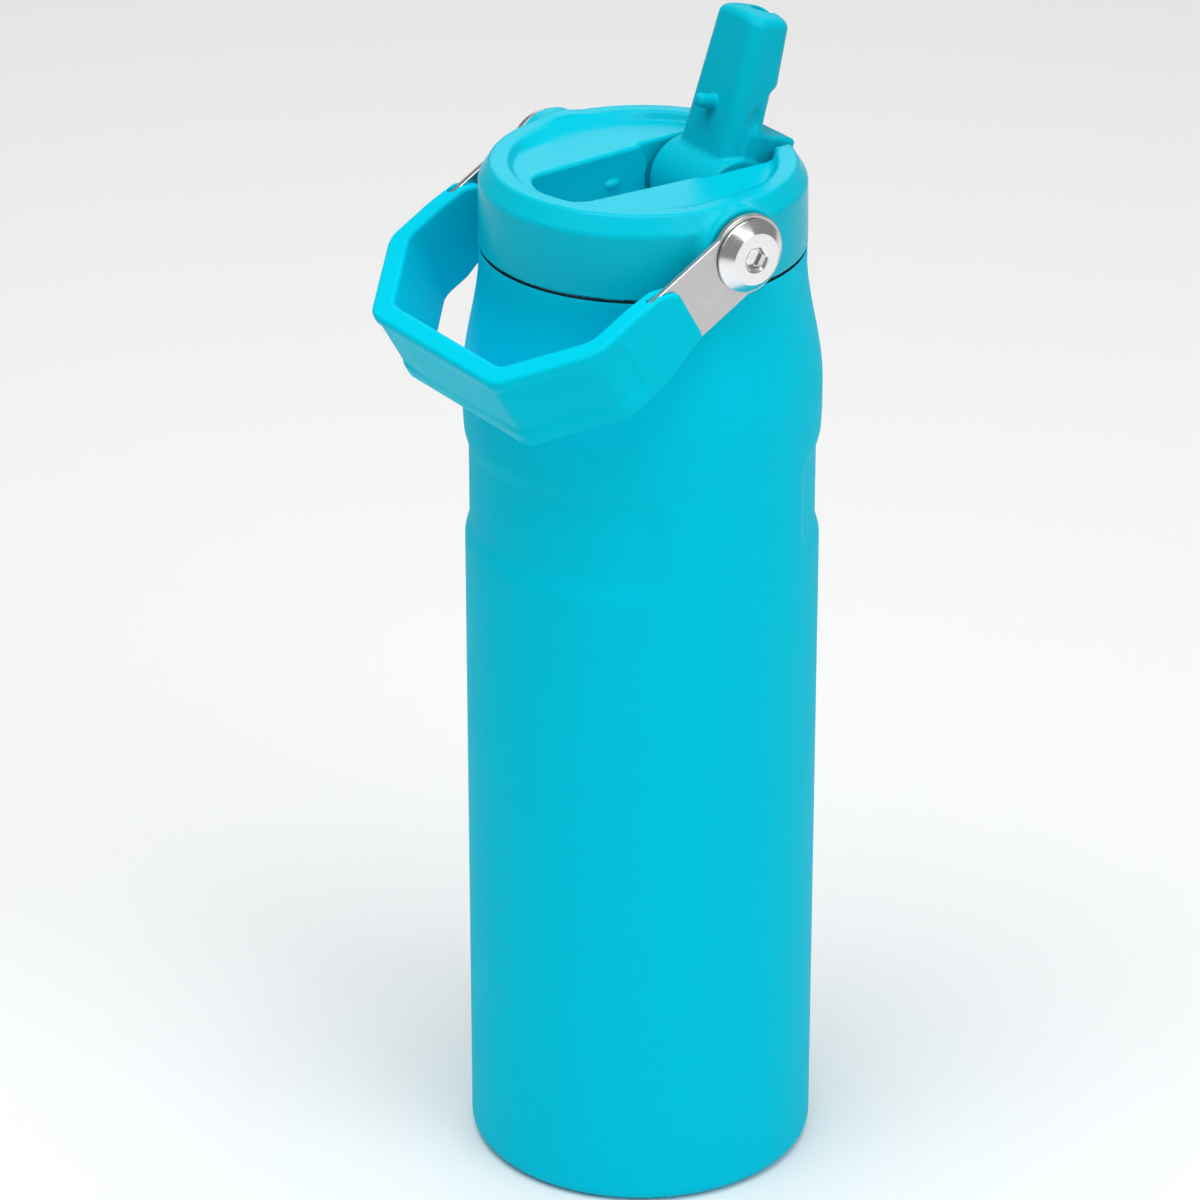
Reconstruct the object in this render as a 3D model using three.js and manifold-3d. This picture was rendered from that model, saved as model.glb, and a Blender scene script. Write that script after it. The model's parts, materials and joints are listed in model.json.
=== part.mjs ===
// Insulated water bottle with a screw-on lid, a flip-up spout and a swinging carry handle.
// Millimetres, +Z up. The origin is on the bottle's axis, in the plane that it stands on.
// The spout folds down towards -Y and the handle's pivot axis runs along X.

import * as THREE from 'three';
import { mergeVertices } from 'three/addons/utils/BufferGeometryUtils.js';
import Module from 'manifold-3d';

const wasm = await Module();
wasm.setup();

// ---- driving dimensions ----

const BODY_R = 38;
const SHOULDER_R = 38.2;
const NECK_R = 34.5;
const STEEL = 0.5;
const BASE_CORNER = 3.2;
const FOOT_INNER_R = 33.2;
const PANEL_LOW = 146;
const PANEL_HIGH = 172;
const PANEL_SLOPE = 5;
const PANEL_DEPTH = 1;
const PANEL_GAP_HALF_ANGLE = 26;
const PANEL_END_ANGLE = 7;
const RIM_Z = 212.8;
const RIM_GAP = 0.5;
const RIM_OUTER_R = 33.4;
// The shoulder's outside above the finger panels, as [radius, height].
const SHOULDER = [[SHOULDER_R, 176.5], [SHOULDER_R, 180], [37.6, 188], [36.4, 195.3], [35, 202.6]];

const BASE_PLATE_Z = 0.9;
const BASE_PLATE_R = 35.7;
const PORT_DIMPLE_Z = 2.8;
const PORT_COVER_R = 16;
const PLUG_R = 4.4;
const PLUG_STEM_R = 2;

const VESSEL_R = 35.6;
const VESSEL_FLOOR_Z = 4.2;
const VESSEL_CORNER = 8;
const MOUTH_R = 31.5;
const MOUTH_LOW_Z = 200;

const THREAD_PITCH = 5;
const THREAD_TURNS = 1.25;
const THREAD_STEPS_PER_TURN = 22;
const RIDGE_FOOT = 1.1;
const RIDGE_CREST = 0.4;
const THREAD_Z = 200;
const NECK_THREAD_CREST_R = 30.3;
const CORE_R = 29.8;
const CORE_THREAD_CREST_R = 31.1;

const LID_BOTTOM_Z = 213.1;
const LID_R = 34.4;
const LID_TOP_R = 34.2;
const LID_WALL_INNER_R = 32.2;
const CHAMFER_Z = 227.8;
const CREST_Z = 231.3;
const CREST_OUTER_R = 32;
const CREST_INNER_R = 27.6;
const DECK_Z = 229.4;
const DECK_THICKNESS = 2.2;
const SEAL_INNER_R = 30.1;
const SEAL_OUTER_R = 31.2;
const SEAL_LOW_Z = 209.4;

const SPOUT_Y = 17;
const SPOUT_Z = 221.5;
const SPOUT_LEAN = 17.5;
const SPOUT_LENGTH = 38.6;
const BLADE_HALF = 9.2;
const BLADE_BEVEL = 1.2;
const BLADE_TAPER = 0.17;
// The spout's blade seen from the side, as [distance behind the axle, distance up from it].
const BLADE_SIDE = [
  [-4.8, 0], [-5, SPOUT_LENGTH - 2], [-3, SPOUT_LENGTH], [3.6, SPOUT_LENGTH - 1.2],
  [5, SPOUT_LENGTH - 3.2], [5.7, 24.8], [4.4, 22.4], [4.4, 0],
];
// The heel behind the blade, drawn in the same way.
const HEEL_HALF = 8.7;
const HEEL_SIDE = [[3, 7], [12, 9.65], [13, 10.8], [13, 12.6], [11.6, 14], [3, 14]];
const BARREL_R = 8.6;
const BARREL_HALF = 10;
const BARREL_GAP = 0.35;
const VENT_REACH = 18;
const VENT_Y = SPOUT_Y - VENT_REACH;
const PEG_R = 1.5;
const PEG_TIP_R = 1;
const PEG_ROOT = 3.5;
const PEG_REACH = 9.4;
const FLOW_R = 2.4;
const MOUTH_BORE_R = 2.6;
const MOUTH_BACK = 1;
const PIN_R = 1.5;
const PIN_START_X = 5.7;
const DIMPLE_R = 2;
const DIMPLE_X = 9.6;
const DIMPLE_BACK = 0.4;
const DETENT_R = 1.6;

const SLOT_FLOOR_Z = 216.5;
const SLOT_FRONT_Y = -21.5;
const SLOT_FRONT_HALF = 8.9;
const SLOT_FRONT_SAG = 3.5;
const SLOT_FRONT_STEPS = 5;
const SLOT_BACK_HALF = 10.7;
const OVER_TOP_Z = CREST_Z + 4;
const POCKET_HALF = 11.7;
const POCKET_START_Y = 6.8;
const REAR_NOTCH_HALF = 9.9;
const REAR_NOTCH_Z = 226.4;
const LID_WALL = 1.5;

const CORE_DECK_Z = 206.5;
const CORE_BOTTOM_Z = 195.5;
const STRAW_R = 4;
const STRAW_BORE_R = 3.2;
const STRAW_LOW_Z = 9;
const CORE_FLANGE_LOW_Z = 213.3;
const CORE_FLANGE = 1;
const CORE_WALL = 1.8;
const SLEEVE_LOW_Z = 197.5;
const VENT_STEM_R = 1.5;
const VENT_FLAP_R = 4.2;
const VENT_VALVE_AT = [-13, -9, 0];
const GROMMET_R = 3.7;
const GROMMET_LIP_R = 4.9;
const SADDLE_R = 3.9;
const SADDLE_FOOT_R = 6.3;

const PIVOT_Z = 222.2;
const BOSS_R = 9.5;
const BOSS_START_X = 24.5;
const BOSS_WIDE_X = 30;
const BOSS_FACE_X = 35.5;
const BOSS_CHAMFER = 0.6;
const ARM_INNER_X = 36.1;
const ARM_OUTER_X = 37.5;
const ARM_HALF_WIDTH = 7.6;
const ARM_EYE_R = 8.6;
const ARM_LENGTH = 38;
const NECK_BLEND = 2;
const EYE_START = Math.PI / 2 - 0.35;
const BUSH_R = 3.9;
const BUSH_BORE_R = 2.1;
const INSERT_R = 3.5;
const INSERT_START_X = 26.9;
const SPACER_R = 7.9;
const SCREW_HEAD_R = 7.8;
const SCREW_FACE_R = 5.5;
const SCREW_FACE_X = 40.5;
const SCREW_SHANK_R = 1.9;
const SCREW_START_X = 27.2;
const HEX_R = 2.5;
const HEX_DEPTH = 1.7;

const HANDLE_DROP = 30;
const GRIP_START = 17.4;
const GRIP_INNER_X = 34;
const GRIP_OUTER_X = 38.7;
const GRIP_BAR_INNER = 52.3;
const GRIP_BAR_OUTER = 57.3;
const GRIP_TOP = 8.6;
const GRIP_LOW = 10.2;
const GRIP_BEVEL = 1;

// One side of the grip's outline in the plane of the arms, as [x, distance from the pivot].
const GRIP_OUTSIDE = [
  [GRIP_OUTER_X, GRIP_START], [GRIP_OUTER_X, 38.8], [37.9, 41.3], [24.6, 55.8], [22, GRIP_BAR_OUTER],
];
const GRIP_INSIDE = [
  [20, GRIP_BAR_INNER], [21.4, 51.6], [33.4, 38.6], [GRIP_INNER_X, 37], [GRIP_INNER_X, GRIP_START],
];
// The grip's width tapers towards the arms, as [distance from the pivot, distance across].
const GRIP_UPPER_TAPER = [[30, -20], [30, -8.7], [23, -8], [18.5, -5.7], [10, -2], [10, -20]];
const GRIP_LOWER_TAPER = [[30, 20], [30, 10.3], [16, 7.2], [10, 6], [10, 20]];

const PART_GAP = 0.3;
const CORNER_STEPS = 3;
const CUT_PAST = 1;
const BODY_SIDES = 44;
const LID_SIDES = 48;
const BOSS_SIDES = 28;
const ROD_SIDES = 18;
const FULL_TURN = Math.PI * 2;

const radians = THREE.MathUtils.degToRad;
const degrees = THREE.MathUtils.radToDeg;

// ---- finishes ----

const finish = (color, roughness, metalness) => (
  new THREE.MeshStandardMaterial({ color, roughness, metalness }));
const powderCoat = () => finish(0x00c4de, 0.55, 0);
const tealPlastic = () => finish(0x12c2da, 0.5, 0);
const bareSteel = () => finish(0xbebec0, 0.3, 1);
const clearPlastic = () => finish(0xe6edf0, 0.45, 0);
const silicone = () => finish(0xdfe6e8, 0.7, 0);
const brass = () => finish(0xc9a24b, 0.35, 1);
const nylon = () => finish(0x2a2c2e, 0.6, 0);

// ---- solids ----

// Turns a closed geometry into a solid whose faces point outwards.
function toSolid(geometry) {
  const bare = geometry.index ? geometry.toNonIndexed() : geometry.clone();
  bare.deleteAttribute('normal');
  bare.deleteAttribute('uv');
  const merged = mergeVertices(bare, 1e-4);
  const corners = merged.index.array;
  const position = merged.attributes.position;
  const a = new THREE.Vector3();
  const b = new THREE.Vector3();
  const c = new THREE.Vector3();
  const kept = [];
  let volume = 0;
  for (let i = 0; i < corners.length; i += 3) {
    const [p, q, r] = corners.slice(i, i + 3);
    if (p === q || q === r || r === p) continue;
    kept.push([p, q, r]);
    a.fromBufferAttribute(position, p);
    b.fromBufferAttribute(position, q);
    c.fromBufferAttribute(position, r);
    volume += a.dot(b.cross(c));
  }
  const facing = volume > 0 ? kept : kept.map(([p, q, r]) => [p, r, q]);
  const mesh = new wasm.Mesh({
    numProp: 3,
    vertProperties: Float32Array.from(position.array),
    triVerts: Uint32Array.from(facing.flat()),
  });
  return new wasm.Manifold(mesh);
}

function toMesh(name, solid, material) {
  const data = solid.getMesh();
  const geometry = new THREE.BufferGeometry();
  geometry.setAttribute('position', new THREE.BufferAttribute(data.vertProperties, 3));
  geometry.setIndex(new THREE.BufferAttribute(data.triVerts, 1));
  geometry.computeVertexNormals();
  const mesh = new THREE.Mesh(geometry, material);
  mesh.name = name;
  return mesh;
}

// Revolves [radius, height] points about +Z. The outline closes on itself or on the axis.
function lathe(points, segments) {
  const onAxis = points[0][0] === 0;
  const outline = (onAxis ? points : [...points, points[0]]).map(([r, z]) => new THREE.Vector2(r, z));
  return new THREE.LatheGeometry(outline, segments).rotateX(Math.PI / 2);
}

const turned = (points, segments) => toSolid(lathe(points, segments));

// A rod of radius r from height low to height high, about +Z.
const rod = (r, low, high, segments = ROD_SIDES) => turned(
  [[0, low], [r, low], [r, high], [0, high]], segments);

// A tube between two radii and two heights, about +Z.
const tube = (inner, outer, low, high, segments = ROD_SIDES) => turned(
  [[inner, low], [outer, low], [outer, high], [inner, high]], segments);

// Points from the outer side of a fillet, from angle start to angle end in degrees.
function arc(centreR, centreZ, radius, start, end, steps) {
  return Array.from({ length: steps + 1 }, (_, i) => {
    const angle = radians(start + (end - start) * i / steps);
    return [centreR + radius * Math.cos(angle), centreZ + radius * Math.sin(angle)];
  });
}

function block(xRange, yRange, zRange) {
  const spans = [xRange, yRange, zRange];
  const box = new THREE.BoxGeometry(...spans.map(([low, high]) => high - low));
  return toSolid(box.translate(...spans.map(([low, high]) => (low + high) / 2)));
}

// Extrudes a plan outline of [x, y] points from height low to height high.
function prism(points, low, high) {
  const shape = new THREE.Shape(points.map(([x, y]) => new THREE.Vector2(x, y)));
  const geometry = new THREE.ExtrudeGeometry(shape, { depth: high - low, bevelEnabled: false });
  return toSolid(geometry.translate(0, 0, low));
}

const ball = (r) => toSolid(new THREE.SphereGeometry(r, 10, 6));

// Turns a solid made about +Z so that its axis runs along +X (side 1) or -X (side -1).
const alongX = (solid, side) => solid.rotate(0, 90 * side, 0);

// Puts a solid made about +Z on the handle's pivot axis, on the +X side or the -X side.
const onPivot = (solid, side) => alongX(solid, side).translate(0, 0, PIVOT_Z);

// A helical ridge from a root radius to a crest radius, rising one pitch per turn.
function threadRidge(rootR, crestR, startZ) {
  const steps = Math.round(THREAD_TURNS * THREAD_STEPS_PER_TURN);
  const section = [[rootR, -RIDGE_FOOT], [crestR, -RIDGE_CREST], [crestR, RIDGE_CREST], [rootR, RIDGE_FOOT]];
  const shape = new THREE.Shape(section.map(([r, z]) => new THREE.Vector2(r, z)));
  const geometry = new THREE.ExtrudeGeometry(shape, { depth: THREAD_TURNS, steps, bevelEnabled: false });
  const position = geometry.attributes.position;
  for (let i = 0; i < position.count; i += 1) {
    const turns = position.getZ(i);
    const angle = turns * FULL_TURN;
    const radius = position.getX(i);
    const height = startZ + position.getY(i) + THREAD_PITCH * turns;
    position.setXYZ(i, radius * Math.cos(angle), radius * Math.sin(angle), height);
  }
  return toSolid(geometry);
}

// ---- bottle ----

// The outer wall's outside, from the base corner up to the neck.
function shellOutside() {
  const panelLevels = [PANEL_LOW, PANEL_LOW + PANEL_SLOPE, PANEL_HIGH - PANEL_SLOPE, PANEL_HIGH];
  return [
    [FOOT_INNER_R, 0],
    ...arc(BODY_R - BASE_CORNER, BASE_CORNER, BASE_CORNER, -90, 0, CORNER_STEPS),
    ...panelLevels.map((z) => [BODY_R, z]),
    ...SHOULDER,
    [NECK_R, RIM_Z - RIM_GAP],
  ];
}

// Presses the two finger panels into a lathed wall, on the -Y side and on the +Y side.
function pressPanels(geometry) {
  const position = geometry.attributes.position;
  for (let i = 0; i < position.count; i += 1) {
    const x = position.getX(i);
    const y = position.getY(i);
    const z = position.getZ(i);
    const fromSide = degrees(Math.atan2(Math.abs(y), Math.abs(x)));
    const up = Math.min(z - PANEL_LOW, PANEL_HIGH - z) / PANEL_SLOPE;
    const along = (fromSide - PANEL_GAP_HALF_ANGLE) / PANEL_END_ANGLE;
    const depth = PANEL_DEPTH * THREE.MathUtils.clamp(up, 0, 1) * THREE.MathUtils.clamp(along, 0, 1);
    const scale = 1 - depth / BODY_R;
    position.setXY(i, x * scale, y * scale);
  }
  return geometry;
}

function outerShell() {
  const outside = shellOutside();
  const inside = outside.slice(CORNER_STEPS + 2).map(([r, z]) => [r - STEEL, z]).reverse();
  const corner = arc(BODY_R - BASE_CORNER, BASE_CORNER, BASE_CORNER - STEEL, 0, -90, CORNER_STEPS);
  const wall = [...outside, ...inside, ...corner, [FOOT_INNER_R, STEEL]];
  return toSolid(pressPanels(lathe(wall, BODY_SIDES)));
}

// The bottom plate, with the raised dimple that the vacuum is drawn through.
function baseCup() {
  const top = BASE_PLATE_Z + STEEL;
  return turned([
    [1, PORT_DIMPLE_Z + STEEL], [1, PORT_DIMPLE_Z], [PLUG_R + 1.2, PORT_DIMPLE_Z],
    [PLUG_R + 2.6, BASE_PLATE_Z], [BASE_PLATE_R, BASE_PLATE_Z], [BASE_PLATE_R, top],
    [PLUG_R + 3.1, top], [PLUG_R + 1.7, PORT_DIMPLE_Z + STEEL],
  ], BOSS_SIDES);
}

const vacuumPlug = () => turned(
  [[0, 1], [PLUG_R, 1], [PLUG_R, 1.9], [PLUG_STEM_R, 2.6], [0, 2.6]], ROD_SIDES);
const portCover = () => rod(PORT_COVER_R, 0, BASE_PLATE_Z - PART_GAP, BOSS_SIDES);
const getter = () => tube(8.5, 13, 3, VESSEL_FLOOR_Z - PART_GAP);

function innerVessel() {
  const wall = (r, floor, corner) => [
    [0, floor],
    ...arc(r - corner, floor + corner, corner, -90, 0, CORNER_STEPS),
    [r, 178],
    [r - 1, 188],
  ];
  const neckOuter = MOUTH_R + STEEL;
  const shell = turned([
    ...wall(VESSEL_R, VESSEL_FLOOR_Z, VESSEL_CORNER),
    [neckOuter + 0.7, MOUTH_LOW_Z - 4], [neckOuter, MOUTH_LOW_Z], [neckOuter, RIM_Z - STEEL],
    [RIM_OUTER_R, RIM_Z - STEEL], [RIM_OUTER_R, RIM_Z], [MOUTH_R, RIM_Z],
    [MOUTH_R, MOUTH_LOW_Z], [MOUTH_R + 0.7, MOUTH_LOW_Z - 4],
    ...wall(VESSEL_R - STEEL, VESSEL_FLOOR_Z + STEEL, VESSEL_CORNER - STEEL).reverse(),
  ], BODY_SIDES);
  return shell.add(threadRidge(MOUTH_R + STEEL / 2, NECK_THREAD_CREST_R, THREAD_Z));
}

// ---- lid ----

// Moves a solid made about +Z to the spout's centre line.
const atSpout = (solid) => solid.translate(0, SPOUT_Y, 0);

function lidSeal() {
  const waistR = SEAL_OUTER_R - 0.3;
  const top = LID_BOTTOM_Z - 0.1;
  return turned([
    [SEAL_INNER_R, SEAL_LOW_Z], [SEAL_OUTER_R, SEAL_LOW_Z], [waistR, SEAL_LOW_Z + 0.8],
    [waistR, top - 1.4], [SEAL_OUTER_R, top - 0.7], [SEAL_OUTER_R, top], [SEAL_INNER_R, top],
  ], BODY_SIDES);
}

function lidCore() {
  const inner = CORE_R - CORE_WALL;
  const flangeR = LID_WALL_INNER_R - PART_GAP;
  const flangeTop = CORE_FLANGE_LOW_Z + CORE_FLANGE;
  const deckTop = CORE_DECK_Z + CORE_WALL;
  const cup = turned([
    [0, CORE_DECK_Z], [inner, CORE_DECK_Z], [inner, CORE_BOTTOM_Z], [CORE_R, CORE_BOTTOM_Z],
    [CORE_R, CORE_FLANGE_LOW_Z], [flangeR, CORE_FLANGE_LOW_Z], [flangeR, flangeTop],
    [inner, flangeTop], [inner, deckTop], [0, deckTop],
  ], BODY_SIDES);
  const boreTop = deckTop + CUT_PAST;
  const flowBore = rod(STRAW_BORE_R - 0.6, CORE_DECK_Z - CUT_PAST, boreTop);
  const ventBore = rod(VENT_STEM_R + PART_GAP, CORE_DECK_Z - CUT_PAST, boreTop).translate(...VENT_VALVE_AT);
  const ridge = threadRidge(CORE_R - CORE_WALL / 6, CORE_THREAD_CREST_R, THREAD_Z - THREAD_PITCH / 2);
  return cup.add(ridge).subtract(ventBore).subtract(atSpout(flowBore));
}

function ventValve() {
  const low = CORE_DECK_Z - PART_GAP;
  const high = CORE_DECK_Z + CORE_WALL + PART_GAP;
  return turned([
    [0, low - 1.1], [VENT_STEM_R, low - 1.1], [VENT_FLAP_R, low - 0.5], [VENT_FLAP_R, low],
    [VENT_STEM_R, low], [VENT_STEM_R, high], [VENT_STEM_R + 1, high], [VENT_STEM_R, high + 1.4],
    [0, high + 1.4],
  ], ROD_SIDES).translate(...VENT_VALVE_AT);
}

// The slot's plan outline, grown outwards by margin.
function slotOutline(margin) {
  const chord = SLOT_FRONT_HALF;
  const radius = (chord * chord + SLOT_FRONT_SAG * SLOT_FRONT_SAG) / (2 * SLOT_FRONT_SAG);
  const centreY = SLOT_FRONT_Y - SLOT_FRONT_SAG + radius;
  const half = degrees(Math.asin(chord / radius));
  const front = arc(0, centreY, radius + margin, -90 - half, -90 + half, SLOT_FRONT_STEPS);
  const backX = SLOT_BACK_HALF + margin;
  const backY = POCKET_START_Y + 3;
  return [...front, [backX, backY], [-backX, backY]];
}

// A bar about the spout's axle line.
const aboutAxle = (r, half) => alongX(rod(r, -half, half, BOSS_SIDES), 1).translate(0, SPOUT_Y, SPOUT_Z);

function slotVoid() {
  const back = SPOUT_Y + BARREL_R + BARREL_GAP;
  const trough = prism(slotOutline(0), SLOT_FLOOR_Z, OVER_TOP_Z);
  const pocket = block([-POCKET_HALF, POCKET_HALF], [POCKET_START_Y, back], [SPOUT_Z, OVER_TOP_Z]);
  const notchX = [-REAR_NOTCH_HALF, REAR_NOTCH_HALF];
  const notch = block(notchX, [SPOUT_Y, LID_R + CUT_PAST], [REAR_NOTCH_Z, OVER_TOP_Z]);
  return trough.add(aboutAxle(BARREL_R + BARREL_GAP, POCKET_HALF)).add(pocket).add(notch);
}

function slotHousing() {
  const radius = BARREL_R + BARREL_GAP + LID_WALL;
  const half = POCKET_HALF + LID_WALL;
  const top = DECK_Z - 1;
  const trough = prism(slotOutline(LID_WALL), SLOT_FLOOR_Z - LID_WALL, top);
  const pocket = block([-half, half], [POCKET_START_Y - LID_WALL, SPOUT_Y + radius], [SPOUT_Z, top]);
  const notchHalf = REAR_NOTCH_HALF + LID_WALL;
  const notch = block(
    [-notchHalf, notchHalf], [SPOUT_Y, LID_WALL_INNER_R - CUT_PAST], [REAR_NOTCH_Z - LID_WALL, top]);
  const over = block([-half, half], [SPOUT_Y - radius, SPOUT_Y + radius], [top, OVER_TOP_Z]);
  const barrelHouse = aboutAxle(radius, half).subtract(over);
  return trough.add(barrelHouse).add(pocket).add(notch);
}

// The bosses that the handle turns on, each with a blind hole for its threaded insert.
function bossSolid(side) {
  const rootR = INSERT_R + 2.7;
  const profile = [
    [0, BOSS_START_X], [rootR, BOSS_START_X], [rootR, BOSS_WIDE_X], [BOSS_R, BOSS_WIDE_X],
    [BOSS_R, BOSS_FACE_X - BOSS_CHAMFER], [BOSS_R - BOSS_CHAMFER, BOSS_FACE_X], [0, BOSS_FACE_X],
  ];
  const wide = [-GRIP_OUTER_X, GRIP_OUTER_X];
  const underside = block(wide, [-BOSS_R, BOSS_R], [PIVOT_Z - 2 * BOSS_R, LID_BOTTOM_Z]);
  const coreTop = CORE_FLANGE_LOW_Z + CORE_FLANGE + PART_GAP;
  const coreSpace = rod(LID_WALL_INNER_R, LID_BOTTOM_Z - CUT_PAST, coreTop, LID_SIDES);
  return onPivot(turned(profile, BOSS_SIDES), side).subtract(underside).subtract(coreSpace);
}

function lidShell() {
  const under = DECK_Z - DECK_THICKNESS;
  let shell = turned([
    [0, under], [LID_WALL_INNER_R - 1.7, under], [LID_WALL_INNER_R, under - 1.7],
    [LID_WALL_INNER_R, LID_BOTTOM_Z], [LID_R - 0.4, LID_BOTTOM_Z], [LID_R, LID_BOTTOM_Z + 0.4],
    [LID_TOP_R, CHAMFER_Z], [CREST_OUTER_R, CREST_Z], [CREST_INNER_R, CREST_Z],
    [CREST_INNER_R - 0.8, DECK_Z], [0, DECK_Z],
  ], LID_SIDES);
  shell = shell.add(slotHousing()).add(bossSolid(1)).add(bossSolid(-1)).subtract(slotVoid());
  const outlet = rod(SADDLE_R + PART_GAP, SPOUT_Z - BARREL_R - 2 * LID_WALL - CUT_PAST, SPOUT_Z);
  const ventLow = SLOT_FLOOR_Z - LID_WALL - CUT_PAST;
  const ventHole = rod(GROMMET_R + PART_GAP, ventLow, SLOT_FLOOR_Z + CUT_PAST).translate(0, VENT_Y, 0);
  const insertHole = rod(INSERT_R + PART_GAP, INSERT_START_X - PART_GAP, BOSS_FACE_X + CUT_PAST);
  for (const side of [1, -1]) {
    const detent = ball(DETENT_R).translate(side * SLOT_BACK_HALF, VENT_Y, SPOUT_Z + DIMPLE_BACK);
    shell = shell.add(detent).subtract(onPivot(insertHole, side));
  }
  const pinHole = aboutAxle(PIN_R, POCKET_HALF + LID_WALL + CUT_PAST);
  return shell.subtract(pinHole).subtract(atSpout(outlet)).subtract(ventHole);
}

// The soft ring in the slot's floor that the spout's vent peg closes.
function ventGrommet() {
  const lipTop = SLOT_FLOOR_Z - LID_WALL - PART_GAP;
  return turned([
    [FLOW_R, lipTop - 1], [GROMMET_LIP_R, lipTop - 1], [GROMMET_LIP_R, lipTop],
    [GROMMET_R, lipTop], [GROMMET_R, SLOT_FLOOR_Z - 0.1], [FLOW_R, SLOT_FLOOR_Z - 0.1],
  ], ROD_SIDES).translate(0, VENT_Y, 0);
}

// The saddle seal between the straw socket and the underside of the spout's barrel.
function spoutSeal() {
  const low = CORE_DECK_Z + CORE_WALL + PART_GAP;
  const high = SPOUT_Z - BARREL_R + SADDLE_R / 2;
  const stem = turned([
    [FLOW_R, low], [SADDLE_FOOT_R, low], [SADDLE_FOOT_R, low + LID_WALL], [SADDLE_R, low + LID_WALL],
    [SADDLE_R, high], [FLOW_R, high],
  ], ROD_SIDES);
  return atSpout(stem).subtract(aboutAxle(BARREL_R + BARREL_GAP / 2, POCKET_HALF));
}

// The soft sleeve under the core's deck that grips the top of the straw.
function strawSleeve() {
  const sleeve = tube(STRAW_R + PART_GAP / 2, STRAW_R + CORE_WALL, SLEEVE_LOW_Z, CORE_DECK_Z - PART_GAP);
  return atSpout(sleeve);
}

const straw = () => atSpout(tube(STRAW_BORE_R, STRAW_R, STRAW_LOW_Z, CORE_DECK_Z - PART_GAP));

// ---- spout ----

// The spout's blade, upright, with its barrel's centre at the origin and its front towards -Y.
function spoutBlade() {
  const side = new THREE.Shape(BLADE_SIDE.map(([back, up]) => new THREE.Vector2(back, up)));
  const blade = new THREE.ExtrudeGeometry(side, {
    depth: 2 * (BLADE_HALF - BLADE_BEVEL),
    bevelThickness: BLADE_BEVEL,
    bevelSize: BLADE_BEVEL,
    bevelOffset: -BLADE_BEVEL,
    bevelSegments: 2,
  });
  blade.translate(0, 0, BLADE_BEVEL - BLADE_HALF).rotateX(Math.PI / 2).rotateZ(Math.PI / 2);
  const position = blade.attributes.position;
  for (let i = 0; i < position.count; i += 1) {
    const taper = 1 - BLADE_TAPER * Math.max(0, position.getZ(i)) / SPOUT_LENGTH;
    position.setX(i, position.getX(i) * taper);
  }
  return toSolid(blade);
}

// The heel that the thumb presses, in the blade's directions.
function spoutHeel() {
  const side = new THREE.Shape(HEEL_SIDE.map(([back, up]) => new THREE.Vector2(back, up)));
  const heel = new THREE.ExtrudeGeometry(side, { depth: 2 * HEEL_HALF, bevelEnabled: false });
  return toSolid(heel.translate(0, 0, -HEEL_HALF).rotateX(Math.PI / 2).rotateZ(Math.PI / 2));
}

function spout() {
  const lean = (solid) => solid.rotate(-SPOUT_LEAN, 0, 0);
  const barrel = alongX(rod(BARREL_R, -BARREL_HALF, BARREL_HALF, 32), 1);
  const peg = turned([
    [0, PEG_ROOT], [PEG_R, PEG_ROOT], [PEG_R, PEG_REACH - 0.8], [PEG_TIP_R, PEG_REACH], [0, PEG_REACH],
  ], ROD_SIDES).rotate(90, 0, 0).translate(0, 0, VENT_REACH);
  const mouth = rod(MOUTH_BORE_R, 0, SPOUT_LENGTH + CUT_PAST).translate(0, MOUTH_BACK, 0);
  const port = rod(FLOW_R, -BARREL_R - CUT_PAST, 0);
  let body = barrel.add(lean(spoutBlade())).add(lean(spoutHeel())).add(lean(peg));
  body = body.subtract(lean(mouth)).subtract(port);
  for (const side of [1, -1]) {
    const pinBore = alongX(rod(PIN_R + 0.1, PIN_START_X - PART_GAP, BARREL_HALF + CUT_PAST), side);
    const dimple = ball(DIMPLE_R).translate(side * DIMPLE_X, DIMPLE_BACK, VENT_REACH);
    body = body.subtract(pinBore).subtract(lean(dimple));
  }
  return body.translate(0, SPOUT_Y, SPOUT_Z);
}

function spoutPin(side) {
  const reach = POCKET_HALF + LID_WALL - 0.1;
  return alongX(rod(PIN_R - 0.02, PIN_START_X, reach), side).translate(0, SPOUT_Y, SPOUT_Z);
}

// ---- handle ----

const insert = (side) => onPivot(tube(BUSH_BORE_R, INSERT_R, INSERT_START_X, BOSS_FACE_X - PART_GAP), side);
const bush = (side) => onPivot(tube(BUSH_BORE_R, BUSH_R, BOSS_FACE_X + 0.1, ARM_OUTER_X + 0.05), side);

function spacer(side) {
  const ring = tube(BUSH_R + PART_GAP, SPACER_R, BOSS_FACE_X + 0.1, ARM_INNER_X - 0.1, BOSS_SIDES);
  return onPivot(ring, side);
}

function screw(side) {
  const seat = ARM_OUTER_X + 0.15;
  const profile = [
    [0, SCREW_START_X], [SCREW_SHANK_R, SCREW_START_X], [SCREW_SHANK_R, seat], [SCREW_HEAD_R, seat],
    [SCREW_HEAD_R, seat + 0.5], [SCREW_FACE_R, SCREW_FACE_X], [0, SCREW_FACE_X],
  ];
  const socket = rod(HEX_R, SCREW_FACE_X - HEX_DEPTH, SCREW_FACE_X + CUT_PAST, 6);
  return onPivot(turned(profile, BOSS_SIDES).subtract(socket), side);
}

// The handle's directions at rest: away from the pivot, and across the arm towards the bottle.
const alongArm = new THREE.Vector3(0, -Math.cos(radians(HANDLE_DROP)), -Math.sin(radians(HANDLE_DROP)));
const acrossArm = new THREE.Vector3(0, Math.sin(radians(HANDLE_DROP)), -Math.cos(radians(HANDLE_DROP)));

const outlineShape = (points) => new THREE.Shape(points.map(([s, n]) => new THREE.Vector2(s, n)));

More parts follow.
